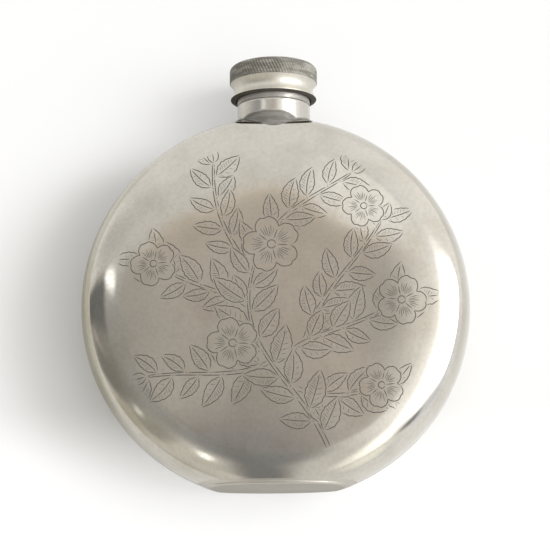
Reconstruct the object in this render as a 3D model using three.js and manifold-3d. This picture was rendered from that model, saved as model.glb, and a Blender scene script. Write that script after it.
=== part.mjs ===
// A round pewter hip flask: two pressed shells soldered rim to rim, a flat base plate, a collar that
// saddles the round shoulder, a turned spout with a screw neck, and a milled screw cap with its seal.
// Millimetres, +Z up along the neck, the front face towards -Y, the origin under the base plate.
import * as THREE from "three";
import { mergeVertices } from "three/addons/utils/BufferGeometryUtils.js";
import Module from "manifold-3d";

const wasm = await Module();
wasm.setup();

// Body: the outline of one half, as tangent arcs from the dome to the seam.
const BODY_RADIUS = 55; // outside radius at the seam
const SIDE_ARC_RADIUS = 20; // roundness of the side wall across the seam
const SIDE_ARC_ANGLE = 20; // degrees of side wall on each half
const SHOULDER_RADIUS = 7.5; // roll from the side wall into the dome
const DOME_EDGE_SLOPE = 7; // degrees, where the dome meets the shoulder
const SHELL_WALL = 1.4; // sheet thickness

// Base: the body is cut flat and closed by a plate.
const BASE_CUT = 3.25; // how much of the full circle the flat takes away
const BASE_PLATE_THICKNESS = 1.5;
const BASE_EDGE = 0.6; // rounding of the plate's lower edge

// Neck: the spout tube, and the collar around it.
const SPOUT_BORE_RADIUS = 7.5;
const SPOUT_WALL = 1.3;
const SPOUT_REACH = 2.5; // how far the tube hangs below the shell's inner wall
const SPOUT_HEIGHT = 7.75; // above the collar
const FLANGE_HEIGHT = 1.6; // the ring that seats on the collar
const THREAD_STEP = 0.7; // the screw neck stands this far out of the tube
const LIP_CHAMFER = 0.5;
const COLLAR_RISE = 3.6; // collar's top above the full circle
const COLLAR_WALL = 1.4;
const COLLAR_FOOT_SIDE = 1.3; // flare of the collar's foot along the body
const COLLAR_FOOT_FRONT = 0.2; // flare where the shoulder falls away, in front and behind
const COLLAR_FOOT_EDGE = 0.35; // thickness of the foot's rim
const COLLAR_FOOT_RISE = 1.3; // height over which the flare dies out
const COLLAR_EDGE = 0.35; // bevel of the collar's top edge

// Cap and seal.
const CAP_GAP = 1.35; // daylight between the collar and the cap's lip
const CAP_WALL = 1.4; // at the waist
const CAP_CROWN = 1.55; // thickness of the top at the rim
const CAP_DOME = 0.45; // rise of the top's centre above its rim
const CAP_LIP_OVERHANG = 1.05; // lip past the waist
const CAP_LIP_HEIGHT = 0.75; // from the mouth up to the lip's edge
const CAP_LIP_EDGE = 0.2; // thickness of the lip's edge
const CAP_LIP_LAND = 0.2; // flat ring round the mouth
const CAP_MOUTH_RELIEF = 0.9; // the mouth is wider than the bore by this, to clear the flange
const CAP_RIM_OVERHANG = 1.3; // milled rim past the waist
const CAP_RIM_HEIGHT = 5; // milled rim, with its rounded shoulder
const CAP_RIM_ROUND = 1.9; // radius of the rim's rounded shoulder
const MILL_COUNT = 90; // flutes round the rim
const MILL_DEPTH = 0.22;
const MILL_SLANT = 24; // degrees from upright, each flute leaning to the left as it rises
const SEAL_THICKNESS = 2.3;

// Clearances.
const SOLDER_GAP = 0.25; // collar to shells
const TUBE_GAP = 0.2; // round the tube, in the collar and in the shells
const THREAD_GAP = 0.4; // screw neck to cap bore
const SEAL_GAP = 0.25; // seal to the spout's lip, the crown and the bore

// How finely round forms are cut.
const BODY_SEGMENTS = 64;
const NECK_SEGMENTS = 48;
const ARC_STEP = 14; // degrees
const CURVE_STEPS = 4;

const toRadians = THREE.MathUtils.degToRad;

// Values that follow from the ones above. Heights named z are above the base's underside.
const bodyZ = BODY_RADIUS - BASE_CUT;
const tubeRadius = SPOUT_BORE_RADIUS + SPOUT_WALL;
const threadRadius = tubeRadius + THREAD_STEP;
const collarBore = tubeRadius + TUBE_GAP;
const collarRadius = collarBore + COLLAR_WALL;
const flangeRadius = collarRadius;
const collarZ = bodyZ + BODY_RADIUS + COLLAR_RISE;
const spoutZ = collarZ + SPOUT_HEIGHT;
const sealZ = spoutZ + SEAL_GAP;
const ceilingZ = sealZ + SEAL_THICKNESS + SEAL_GAP;
const capZ = collarZ + CAP_GAP;
const capBore = threadRadius + THREAD_GAP;
const capMouth = capBore + CAP_MOUTH_RELIEF;
const waistRadius = capBore + CAP_WALL;
const capLipRadius = waistRadius + CAP_LIP_OVERHANG;
const rimRadius = waistRadius + CAP_RIM_OVERHANG;
const rimTopZ = ceilingZ + CAP_CROWN;
const rimFootZ = rimTopZ - CAP_RIM_HEIGHT;

// The body's outline as three tangent arcs, each with its centre and radius in the plane of radius and
// depth. An angle is that of the outward normal: 0 at the dome's centre, 90 degrees at the seam.
const shoulderAngle = 90 - SIDE_ARC_ANGLE;
const sideArc = { r: BODY_RADIUS - SIDE_ARC_RADIUS, depth: 0, radius: SIDE_ARC_RADIUS };
const shoulderArc = {
  r: sideArc.r + (SIDE_ARC_RADIUS - SHOULDER_RADIUS) * Math.sin(toRadians(shoulderAngle)),
  depth: (SIDE_ARC_RADIUS - SHOULDER_RADIUS) * Math.cos(toRadians(shoulderAngle)),
  radius: SHOULDER_RADIUS,
};
const domeRadius = shoulderArc.r / Math.sin(toRadians(DOME_EDGE_SLOPE)) + SHOULDER_RADIUS;
const domeArc = {
  r: 0,
  depth: shoulderArc.depth - (domeRadius - SHOULDER_RADIUS) * Math.cos(toRadians(DOME_EDGE_SLOPE)),
  radius: domeRadius,
};

// Points on an outline arc, moved inwards by the inset.
function arcPoints(arc, inset, fromAngle, toAngle, steps) {
  return Array.from({ length: steps + 1 }, (_, i) => {
    const angle = toRadians(fromAngle + ((toAngle - fromAngle) * i) / steps);
    const radius = arc.radius - inset;
    return new THREE.Vector2(arc.r + radius * Math.sin(angle), arc.depth + radius * Math.cos(angle));
  });
}

// The outline of one half from the dome's centre to the seam, with exact ends.
function halfOutline(inset) {
  const shoulderSteps = Math.ceil((shoulderAngle - DOME_EDGE_SLOPE) / ARC_STEP);
  const sideSteps = Math.max(2, Math.ceil(SIDE_ARC_ANGLE / ARC_STEP));
  const points = [
    ...arcPoints(domeArc, inset, 0, DOME_EDGE_SLOPE, CURVE_STEPS),
    ...arcPoints(shoulderArc, inset, DOME_EDGE_SLOPE, shoulderAngle, shoulderSteps).slice(1),
    ...arcPoints(sideArc, inset, shoulderAngle, 90, sideSteps).slice(1),
  ];
  points[0].x = 0;
  points.at(-1).y = 0;
  return points;
}

// Outside radius of the body at a depth in front of or behind the seam.
function bodyRadiusAt(depth) {
  const away = Math.abs(depth);
  const onSide = away <= SIDE_ARC_RADIUS * Math.cos(toRadians(shoulderAngle));
  const arc = onSide ? sideArc : shoulderArc;
  return arc.r + Math.sqrt(Math.max(0, arc.radius ** 2 - (away - arc.depth) ** 2));
}

// Depth of the body's surface at a distance from the disc's axis.
function bodyDepthAt(radius) {
  const onSide = radius >= sideArc.r + SIDE_ARC_RADIUS * Math.sin(toRadians(shoulderAngle));
  const onDome = radius <= domeRadius * Math.sin(toRadians(DOME_EDGE_SLOPE));
  const arc = onSide ? sideArc : onDome ? domeArc : shoulderArc;
  return arc.depth + Math.sqrt(Math.max(0, arc.radius ** 2 - (radius - arc.r) ** 2));
}

// Height of the body's top surface over a point of the plan.
function bodyTopAt(x, y) {
  return bodyZ + Math.sqrt(bodyRadiusAt(y) ** 2 - x ** 2);
}

// A closed geometry as a solid that can be cut and joined.
function solidOf(geometry) {
  const bare = geometry.clone();
  bare.deleteAttribute("normal");
  bare.deleteAttribute("uv");
  const merged = mergeVertices(bare, 1e-4);
  const vertProperties = new Float32Array(merged.attributes.position.array);
  const triVerts = new Uint32Array(merged.index.array);
  return new wasm.Manifold(new wasm.Mesh({ numProp: 3, vertProperties, triVerts }));
}

function geometryOf(solid) {
  const { vertProperties, triVerts } = solid.getMesh();
  const geometry = new THREE.BufferGeometry();
  geometry.setAttribute("position", new THREE.BufferAttribute(vertProperties, 3));
  geometry.setIndex(new THREE.BufferAttribute(triVerts, 1));
  geometry.computeVertexNormals();
  return geometry;
}

// A turned piece about Z, from points of radius and height that run up the outside and down the bore.
function turned(points, segments) {
  return new THREE.LatheGeometry(points, segments).rotateX(Math.PI / 2);
}

// A ring-shaped loft: each station round the axis holds the same closed section, made by sectionAt.
function loftedRing(sectionAt, stations) {
  const sections = Array.from({ length: stations }, (_, i) => sectionAt((2 * Math.PI * i) / stations));
  const count = sections[0].length;
  const index = [];
  for (let i = 0; i < stations; i++) {
    const next = (i + 1) % stations;
    for (let k = 0; k < count; k++) {
      const after = (k + 1) % count;
      const [a, b] = [i * count + k, next * count + k];
      const [c, d] = [next * count + after, i * count + after];
      index.push(a, b, c, a, c, d);
    }
  }
  const geometry = new THREE.BufferGeometry();
  geometry.setAttribute("position", new THREE.Float32BufferAttribute(sections.flat(2), 3));
  geometry.setIndex(index);
  geometry.computeVertexNormals();
  return geometry;
}

// A plate lofted through closed outlines, each a list of points, and closed flat below and above.
function loftedPlate(outlines) {
  const count = outlines[0].length;
  const last = outlines.length - 1;
  const middleOf = (outline) => [0, 0, outline[0][2]];
  const points = [...outlines.flat(), middleOf(outlines[0]), middleOf(outlines[last])];
  const [below, above] = [points.length - 2, points.length - 1];
  const index = [];
  for (let k = 0; k < count; k++) {
    const after = (k + 1) % count;
    for (let level = 0; level < last; level++) {
      const [a, b] = [level * count + k, level * count + after];
      index.push(a, b, b + count, a, b + count, a + count);
    }
    index.push(below, after, k, above, last * count + k, last * count + after);
  }
  const geometry = new THREE.BufferGeometry();
  geometry.setAttribute("position", new THREE.Float32BufferAttribute(points.flat(), 3));
  geometry.setIndex(index);
  geometry.computeVertexNormals();
  return geometry;
}

function pewter(color, roughness) {
  return new THREE.MeshStandardMaterial({ color, roughness, metalness: 1 });
}

// Places a geometry as a named piece. Body pieces are made about the disc's centre and lifted there.
function piece(name, geometry, material, lift = 0) {
  const mesh = new THREE.Mesh(geometry, material);
  mesh.name = name;
  mesh.position.z = lift;
  return mesh;
}

// One pressed shell, as a full dish about the disc's axis. The side is -1 in front and 1 behind.
function dish(side) {
  const wall = [...halfOutline(0), ...halfOutline(SHELL_WALL).reverse()];
  const points = wall.map((p) => new THREE.Vector2(p.x, side * p.y));
  return solidOf(new THREE.LatheGeometry(side < 0 ? points : points.reverse(), BODY_SEGMENTS));
}

// A block that covers everything below a height, measured from the disc's centre.
function everythingBelow(height) {
  const width = 3 * BODY_RADIUS;
  return solidOf(new THREE.BoxGeometry(width, width, width).translate(0, 0, height - width / 2));
}

function shell(side) {
  const belowPlate = everythingBelow(BASE_PLATE_THICKNESS - bodyZ);
  const hole = new THREE.CylinderGeometry(collarBore, collarBore, BODY_RADIUS, NECK_SEGMENTS);
  const neckHole = solidOf(hole.rotateX(Math.PI / 2).translate(0, 0, BODY_RADIUS));
  return geometryOf(dish(side).subtract(belowPlate).subtract(neckHole));
}

// The body's section at a height above the base's underside, drawn in by the inset.
function bodySection(z, inset) {
  const drop = bodyZ - z;
  const halfWidth = Math.sqrt(BODY_RADIUS ** 2 - drop ** 2);
  const halfDepth = bodyDepthAt(drop);
  return Array.from({ length: BODY_SEGMENTS }, (_, i) => {
    const turn = (2 * Math.PI * i) / BODY_SEGMENTS;
    const x = halfWidth * Math.cos(turn);
    const depth = bodyDepthAt(Math.hypot(x, drop)) * Math.sign(Math.sin(turn));
    return [x * (1 - inset / halfWidth), depth * (1 - inset / halfDepth), z];
  });
}

function basePlate() {
  const edge = [0, 45, 90].map((degrees) => {
    const turn = toRadians(degrees);
    return bodySection(BASE_EDGE * (1 - Math.cos(turn)), BASE_EDGE * (1 - Math.sin(turn)));
  });
  return loftedPlate([...edge, bodySection(BASE_PLATE_THICKNESS, 0)]);
}

// The collar follows the saddle of the shoulder below, where its foot is oval, and is level above.
function neckCollar() {
  return loftedRing((angle) => {
    const at = (radius, z) => [radius * Math.cos(angle), radius * Math.sin(angle), z];
    const seat = (radius) => bodyTopAt(...at(radius, 0)) + SOLDER_GAP;
    const foot = COLLAR_FOOT_SIDE * Math.cos(angle) ** 2 + COLLAR_FOOT_FRONT * Math.sin(angle) ** 2;
    const footRadius = collarRadius + foot;
    const flare = new THREE.QuadraticBezierCurve(
      new THREE.Vector2(footRadius, COLLAR_FOOT_EDGE),
      new THREE.Vector2(collarRadius, COLLAR_FOOT_EDGE),
      new THREE.Vector2(collarRadius, COLLAR_FOOT_RISE),
    ).getPoints(CURVE_STEPS);
    return [
      at(footRadius, seat(footRadius)),
      ...flare.map((p) => at(p.x, seat(footRadius) + p.y)),
      at(collarRadius, collarZ - COLLAR_EDGE),
      at(collarRadius - COLLAR_EDGE, collarZ),
      at(collarBore, collarZ),
      at(collarBore, seat(collarBore)),
      at((collarBore + footRadius) / 2, seat((collarBore + footRadius) / 2)),
    ];
  }, NECK_SEGMENTS);
}

// The spout hangs through the collar and the shells, and stands on the collar by its flange.
function spout() {
  const innerWallZ = bodyZ + bodyRadiusAt(tubeRadius) - SHELL_WALL;
  const tubeZ = innerWallZ - SPOUT_REACH;
  const flangeZ = collarZ + FLANGE_HEIGHT;
  const points = [
    [SPOUT_BORE_RADIUS, tubeZ],
    [tubeRadius, tubeZ],
    [tubeRadius, collarZ],
    [flangeRadius - COLLAR_EDGE, collarZ],
    [flangeRadius, collarZ + COLLAR_EDGE],
    [flangeRadius, flangeZ],
    [threadRadius, flangeZ],
    [threadRadius, spoutZ - LIP_CHAMFER],
    [threadRadius - LIP_CHAMFER, spoutZ],
    [SPOUT_BORE_RADIUS + LIP_CHAMFER, spoutZ],
    [SPOUT_BORE_RADIUS, spoutZ - LIP_CHAMFER],
    [SPOUT_BORE_RADIUS, tubeZ],
  ];
  return turned(points.map(([r, z]) => new THREE.Vector2(r, z)), NECK_SEGMENTS);
}

// The cap's turned outline, from the centre of its underside hollow round to the top's centre.
function capCore() {
  const lipEdgeZ = capZ + CAP_LIP_HEIGHT;
  const waistZ = (lipEdgeZ + rimFootZ) / 2;
  const rimCore = rimRadius - MILL_DEPTH;
  const outline = new THREE.Path();
  outline.moveTo(0, ceilingZ);
  outline.lineTo(capBore, ceilingZ);
  outline.lineTo(capBore, collarZ + FLANGE_HEIGHT + CAP_MOUTH_RELIEF);
  outline.lineTo(capMouth, collarZ + FLANGE_HEIGHT);
  outline.lineTo(capMouth, capZ);
  outline.lineTo(capMouth + CAP_LIP_LAND, capZ);
  outline.lineTo(capLipRadius, lipEdgeZ - CAP_LIP_EDGE);
  outline.lineTo(capLipRadius, lipEdgeZ);
  outline.quadraticCurveTo(waistRadius, (lipEdgeZ + waistZ) / 2, waistRadius, waistZ);
  outline.quadraticCurveTo(waistRadius, (waistZ + rimFootZ) / 2, rimCore, rimFootZ);
  outline.lineTo(rimCore, rimTopZ - CAP_RIM_ROUND);
  outline.quadraticCurveTo(rimCore, rimTopZ, rimCore - CAP_RIM_ROUND, rimTopZ);
  outline.quadraticCurveTo((rimCore - CAP_RIM_ROUND) / 2, rimTopZ + CAP_DOME, 0, rimTopZ + CAP_DOME);
  return solidOf(turned(outline.getPoints(CURVE_STEPS), NECK_SEGMENTS));
}

// The milled band: slanted flutes up the rim and over its rounded shoulder.
function milledBand() {
  const roundFootZ = rimTopZ - CAP_RIM_ROUND;
  const shoulder = new THREE.QuadraticBezierCurve(
    new THREE.Vector2(rimRadius, roundFootZ),
    new THREE.Vector2(rimRadius, rimTopZ),
    new THREE.Vector2(rimRadius - CAP_RIM_ROUND, rimTopZ),
  ).getPoints(CURVE_STEPS);
  const ridge = [new THREE.Vector2(rimRadius, rimFootZ), ...shoulder];
  const core = (capBore + rimRadius - CAP_RIM_ROUND) / 2;
  const twistPerHeight = Math.tan(toRadians(MILL_SLANT)) / rimRadius;
  let station = 0;
  return solidOf(
    loftedRing((angle) => {
      const inset = (station++ % 2) * MILL_DEPTH;
      const at = (radius, z) => {
        const turn = angle - (z - rimFootZ) * twistPerHeight;
        return [radius * Math.cos(turn), radius * Math.sin(turn), z];
      };
      const flute = ridge.slice(0, -1).map((p) => at(p.x - inset, p.y));
      const end = ridge.at(-1);
      return [...flute, at(end.x, end.y), at(core, rimTopZ), at(core, rimFootZ)];
    }, 2 * MILL_COUNT),
  );
}

function capShell() {
  return geometryOf(capCore().add(milledBand()));
}

function capSeal() {
  const radius = capBore - SEAL_GAP;
  const disc = new THREE.CylinderGeometry(radius, radius, SEAL_THICKNESS, NECK_SEGMENTS);
  return disc.rotateX(Math.PI / 2).translate(0, 0, sealZ + SEAL_THICKNESS / 2);
}

const polished = pewter(0xb9b3a6, 0.22);
const turnedPewter = pewter(0xb4b0a8, 0.28);
const sealRubber = new THREE.MeshStandardMaterial({ color: 0x3a3733, roughness: 0.8, metalness: 0 });

const flask = new THREE.Group();
flask.add(
  piece("front_shell", shell(-1), polished, bodyZ),
  piece("back_shell", shell(1), polished, bodyZ),
  piece("base_plate", basePlate(), polished),
  piece("neck_collar", neckCollar(), turnedPewter),
  piece("spout", spout(), turnedPewter),
  piece("cap_shell", capShell(), turnedPewter),
  piece("cap_seal", capSeal(), sealRubber),
);

export default flask;
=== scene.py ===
"""A round pewter hip flask: engraved front, plain back, base plate, saddle collar, spout, cap and seal."""

import logging
import math
import random
from collections.abc import Callable, Sequence
from dataclasses import dataclass, field
from enum import Enum
from typing import TypeVar

import bmesh
import bpy
from mathutils import Matrix, Vector
from mathutils.geometry import interpolate_bezier


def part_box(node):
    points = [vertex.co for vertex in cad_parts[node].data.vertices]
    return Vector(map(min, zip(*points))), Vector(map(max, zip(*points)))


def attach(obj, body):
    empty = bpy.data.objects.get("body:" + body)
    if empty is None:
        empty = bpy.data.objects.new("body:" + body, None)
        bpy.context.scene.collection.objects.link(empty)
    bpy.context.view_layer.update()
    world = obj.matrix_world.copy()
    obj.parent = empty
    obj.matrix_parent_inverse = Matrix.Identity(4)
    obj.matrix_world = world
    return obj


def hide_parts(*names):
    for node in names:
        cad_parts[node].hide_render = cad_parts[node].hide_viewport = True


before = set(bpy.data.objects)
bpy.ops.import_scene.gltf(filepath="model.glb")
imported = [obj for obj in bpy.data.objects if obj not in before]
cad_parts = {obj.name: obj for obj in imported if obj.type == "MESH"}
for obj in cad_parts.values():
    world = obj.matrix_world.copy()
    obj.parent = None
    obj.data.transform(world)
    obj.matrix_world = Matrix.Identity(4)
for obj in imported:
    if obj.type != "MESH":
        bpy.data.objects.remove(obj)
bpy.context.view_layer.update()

LOG = logging.getLogger("flask")
MM = 0.001
TURN = 2 * math.pi
PICTURE_SIDE = 550
SENSOR_WIDTH = 36.0
MERGE_WITHIN = 1e-7
# The attribute that darkens a piece: tarnish, and on the cap and collar also painted shade.
RECESS = "recess"
FIELD_TONE = (0.63, 0.58, 0.525)
FRINGE_TONE = (0.76, 0.62, 0.47)

Colour = tuple[float, float, float]
Point = tuple[float, float]
Triple = tuple[float, float, float]
Result = TypeVar("Result")


class Signal:
    """An output of a node that takes part in Python arithmetic."""

    def __init__(self, graph: "Graph", socket: bpy.types.NodeSocket) -> None:
        """Keeps the socket with the graph that it belongs to."""
        self.graph = graph
        self.socket = socket

    def __add__(self, other: "Signal | float") -> "Signal":
        """Adds another value."""
        return self.graph.maths("ADD", self, other)

    __radd__ = __add__

    def __sub__(self, other: "Signal | float") -> "Signal":
        """Takes another value away."""
        return self.graph.maths("SUBTRACT", self, other)

    def __rsub__(self, other: float) -> "Signal":
        """Is taken away from a number."""
        return self.graph.maths("SUBTRACT", other, self)

    def __mul__(self, other: "Signal | float") -> "Signal":
        """Multiplies by another value."""
        return self.graph.maths("MULTIPLY", self, other)

    __rmul__ = __mul__

    def __truediv__(self, other: "Signal | float") -> "Signal":
        """Divides by another value."""
        return self.graph.maths("DIVIDE", self, other)

    def __rtruediv__(self, other: float) -> "Signal":
        """Divides a number."""
        return self.graph.maths("DIVIDE", other, self)

    def __pow__(self, other: float) -> "Signal":
        """Raises to a power."""
        return self.graph.maths("POWER", self, other)

    def __neg__(self) -> "Signal":
        """Changes the sign."""
        return self.graph.maths("MULTIPLY", self, -1.0)

    def __abs__(self) -> "Signal":
        """Drops the sign."""
        return self.graph.maths("ABSOLUTE", self)

    def between(self, low: float, high: float, start: float = 0.0, end: float = 1.0) -> "Signal":
        """Eases from one value to another.

        Args:
            low: Input at which the easing starts.
            high: Input at which it ends.
            start: Output up to low.
            end: Output from high.

        Returns:
            The eased value.
        """
        settings = {"interpolation_type": "SMOOTHSTEP"}
        values = {"Value": self, "From Min": low, "From Max": high, "To Min": start, "To Max": end}
        return self.graph.node("ShaderNodeMapRange", settings, values)


class Graph:
    """A node tree that is written as expressions."""

    def __init__(self, owner: bpy.types.Material | bpy.types.World) -> None:
        """Empties the owner's node tree and takes it over."""
        owner.use_nodes = True
        self.tree = owner.node_tree
        self.tree.nodes.clear()

    def node(self, kind: str, settings: dict | None = None, inputs: dict | None = None,
             output: int | str = 0) -> Signal:
        """Adds a node.

        Args:
            kind: The node's type.
            settings: Its own values, such as a Math node's operation, set first.
            inputs: Values or signals for its sockets, by name or number.
            output: The output that is wanted, by name or number.

        Returns:
            The wanted output.
        """
        made = self.tree.nodes.new(kind)
        for name, value in (settings or {}).items():
            setattr(made, name, value)
        for name, value in (inputs or {}).items():
            if isinstance(value, Signal):
                self.tree.links.new(value.socket, made.inputs[name])
            else:
                made.inputs[name].default_value = value
        return Signal(self, made.outputs[output]) if len(made.outputs) else Signal(self, made.inputs[0])

    def maths(self, operation: str, *values: "Signal | float") -> Signal:
        """Adds a Math node on one or two values."""
        return self.node("ShaderNodeMath", {"operation": operation}, dict(enumerate(values)))

    def vector(self, operation: str, *values: "Signal | Colour", output: int | str = 0) -> Signal:
        """Adds a Vector Math node."""
        return self.node("ShaderNodeVectorMath", {"operation": operation}, dict(enumerate(values)), output)

    def mix(self, factor: Signal, start: "Signal | Colour", end: "Signal | Colour") -> Signal:
        """Mixes two colours by a factor."""
        colours = {6: rgba(start), 7: rgba(end)}
        return self.node("ShaderNodeMix", {"data_type": "RGBA"}, {0: factor, **colours}, 2)

    def noise(self, where: Signal, size: float, detail: float = 2.0, roughness: float = 0.5) -> Signal:
        """Adds a noise.

        Args:
            where: The coordinates.
            size: The size of its features, in millimetres.
            detail: The number of finer layers.
            roughness: The share that each finer layer has.

        Returns:
            The noise, about 0.5 on the mean.
        """
        inputs = {"Vector": where, "Scale": 1 / size, "Detail": detail, "Roughness": roughness}
        return self.node("ShaderNodeTexNoise", {}, inputs)

    def stretched(self, where: Signal, turn: Triple, scale: Triple) -> Signal:
        """Turns coordinates and then scales them along their new axes."""
        turned_to = self.node("ShaderNodeMapping", {"vector_type": "POINT"},
                              {"Vector": where, "Rotation": tuple(map(math.radians, turn))})
        return self.vector("MULTIPLY", turned_to, scale)

    def millimetres(self) -> Signal:
        """Gives the piece's own coordinates in millimetres."""
        place = self.node("ShaderNodeTexCoord", {}, {}, "Object")
        return self.vector("MULTIPLY", place, (1 / MM, 1 / MM, 1 / MM))


def rgba(colour: "Signal | Colour") -> "Signal | tuple[float, ...]":
    """Gives a plain colour its fourth number."""
    return colour if isinstance(colour, Signal) else (*colour, 1.0)


@dataclass(frozen=True)
class PewterFinish:
    """Pewter with patina, dark tarnish in what lies deep, painted shade where the recess attribute carries
    it, scratches and a slightly uneven surface.
    """

    name: str
    slot: str
    colour: Colour
    warm: Colour
    tarnish: Colour
    roughness: float
    wave_size: float
    wave_height: float
    scratches: float
    turning: float
    dulling: float = 0.3
    oxide: float = 0.0
    full: float = 0.9
    mottle: float = 0.0
    edge_tint: float = 1.0

    def material(self) -> bpy.types.Material:
        """Builds the material.

        Returns:
            The material, which reads the piece's recess attribute.
        """
        made = bpy.data.materials.new(self.name)
        graph = Graph(made)
        place = graph.millimetres()
        recess = graph.node("ShaderNodeAttribute", {"attribute_name": RECESS}, {}, "Fac")
        if self.mottle:
            streaks = graph.vector("MULTIPLY", place, (0.22, 0.22, 1.0))
            recess = recess * graph.noise(streaks, 1.0, 3.0, 0.6).between(0.42, 0.62, 1.0, 1.0 - self.mottle)
        blotch = graph.noise(place, 13.0, 4.0, 0.55).between(0.42, 0.66)
        speckle = graph.noise(place, 1.1, 3.0, 0.6).between(0.35, 0.75)
        lines = self.scratch_lines(graph, place)
        base = graph.mix(blotch, self.colour, self.warm)
        base = graph.mix(speckle * 0.09, base, self.tarnish)
        deep = recess.between(0.0, self.full)
        base = graph.mix(deep * 0.92, base, self.tarnish)
        rough = self.roughness + blotch * 0.02 + speckle * 0.02 + lines * 0.10 + recess * self.dulling
        height = self.surface_height(graph, place, lines)
        bump = graph.node("ShaderNodeBump", {}, {"Height": height, "Strength": 1.0, "Distance": MM})
        metallic = 1.0 - deep * self.oxide if self.oxide else 1.0
        inputs = {"Base Color": base, "Metallic": metallic, "Roughness": rough, "Normal": bump,
                  "Specular Tint": rgba((self.edge_tint,) * 3)}
        shader = graph.node("ShaderNodeBsdfPrincipled", {}, inputs)
        graph.node("ShaderNodeOutputMaterial", {}, {"Surface": shader})
        return made

    def scratch_lines(self, graph: Graph, place: Signal) -> Signal:
        """Draws fine scratches in three directions.

        Args:
            graph: The material's graph.
            place: Coordinates in millimetres.

        Returns:
            A mask that is 1 on a scratch.
        """
        lines: Signal | None = None
        for turn in (18.0, 74.0, 133.0):
            stretched = graph.stretched(place, (0.0, turn, turn / 3), (0.09, 6.0, 6.0))
            line = graph.noise(stretched, 1.0, 2.0, 0.6).between(0.63, 0.74)
            lines = line if lines is None else lines + line
        return lines * self.scratches

    def surface_height(self, graph: Graph, place: Signal, lines: Signal) -> Signal:
        """Sums the unevenness of the surface.

        Args:
            graph: The material's graph.
            place: Coordinates in millimetres.
            lines: The mask of scratches.

        Returns:
            Height in millimetres.
        """
        broad = graph.noise(place, self.wave_size, 1.0, 0.4) * self.wave_height
        small = graph.noise(place, self.wave_size * 0.24, 2.0, 0.5) * (self.wave_height * 0.1)
        height = broad + small - lines * 0.0012
        if self.turning:
            flat = graph.vector("MULTIPLY", place, (1.0, 1.0, 0.0))
            radius = graph.vector("LENGTH", flat, output="Value")
            level = graph.vector("DOT_PRODUCT", place, (0.0, 0.0, 1.0), output="Value")
            ring = graph.node("ShaderNodeCombineXYZ", {}, {0: radius, 1: level})
            height = height + graph.noise(ring, 0.16, 2.0, 0.6) * self.turning
        return height


@dataclass(frozen=True)
class RubberFinish:
    """Matt dark rubber with a fine grain."""

    name: str
    slot: str
    colour: Colour
    worn: Colour

    def material(self) -> bpy.types.Material:
        """Builds the material."""
        made = bpy.data.materials.new(self.name)
        graph = Graph(made)
        place = graph.millimetres()
        grain = graph.noise(place, 0.25, 3.0, 0.6)
        wear = graph.noise(place, 4.0, 3.0, 0.6).between(0.45, 0.7)
        bump = graph.node("ShaderNodeBump", {}, {"Height": grain, "Strength": 0.6, "Distance": 0.03 * MM})
        inputs = {
            "Base Color": graph.mix(wear, self.colour, self.worn),
            "Roughness": 0.62 + grain * 0.3,
            "Normal": bump,
        }
        shader = graph.node("ShaderNodeBsdfPrincipled", {}, inputs)
        graph.node("ShaderNodeOutputMaterial", {}, {"Surface": shader})
        return made


class Finish(Enum):
    """The finishes, each with the material slot that it belongs to."""

    POLISHED = PewterFinish(
        "polished_pewter", "pewter_polished", (0.63, 0.605, 0.548), (0.58, 0.55, 0.49), (0.085, 0.078, 0.07),
        roughness=0.07, wave_size=17.0, wave_height=0.06, scratches=0.5, turning=0.0, dulling=0.5,
        oxide=0.92, full=0.4)
    WORN_BASE = PewterFinish(
        "worn_base_pewter", "pewter_polished", (0.61, 0.585, 0.53), (0.58, 0.55, 0.485), (0.30, 0.285, 0.255),
        roughness=0.3, wave_size=9.0, wave_height=0.01, scratches=0.2, turning=0.0, dulling=0.3,
        edge_tint=0.8)
    TURNED = PewterFinish(
        "turned_pewter", "pewter_turned", (0.62, 0.595, 0.55), (0.58, 0.55, 0.50), (0.11, 0.106, 0.094),
        roughness=0.2, wave_size=9.0, wave_height=0.02, scratches=0.35, turning=0.0012, dulling=0.5,
        oxide=0.9, mottle=0.22)
    # The cap's dark tarnish colour is also painted shade on the lip's underside.
    CAP = PewterFinish(
        "cap_pewter", "pewter_cap", (0.69, 0.665, 0.595), (0.65, 0.62, 0.545), (0.05, 0.045, 0.036),
        roughness=0.42, wave_size=8.0, wave_height=0.012, scratches=0.4, turning=0.0012, dulling=0.35,
        oxide=0.5, mottle=0.22)
    RUBBER = RubberFinish("dark_rubber", "seal_rubber", (0.05, 0.046, 0.04), (0.075, 0.07, 0.062))


class PatchShape(Enum):
    """How a patch of the room is bounded."""

    PANEL = "straight sides"
    OVAL = "an ellipse"


@dataclass(frozen=True)
class RoomPatch:
    """A light or dark part of the room, placed in degrees to the right of and above the flask's front."""

    shape: PatchShape
    centre: Point
    half: Point
    turn: float
    edge: float
    tone: Colour

    def mask(self, graph: Graph, right: Signal, above: Signal) -> Signal:
        """Draws the patch.

        Args:
            graph: The world's graph.
            right: Degrees to the right of the front.
            above: Degrees above the front.

        Returns:
            1 inside the patch and 0 outside.
        """
        cos, sin = math.cos(math.radians(self.turn)), math.sin(math.radians(self.turn))
        x, z = right - self.centre[0], above - self.centre[1]
        along, across = x * cos + z * sin, z * cos - x * sin
        if self.shape is PatchShape.OVAL:
            reach = ((along / self.half[0]) ** 2.0 + (across / self.half[1]) ** 2.0) ** 0.5
            soft = self.edge / min(self.half)
            return reach.between(1 - soft, 1 + soft, 1.0, 0.0)
        sides = [abs(along).between(self.half[0] - self.edge, self.half[0] + self.edge, 1.0, 0.0),
                 abs(across).between(self.half[1] - self.edge, self.half[1] + self.edge, 1.0, 0.0)]
        return sides[0] * sides[1]


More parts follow.
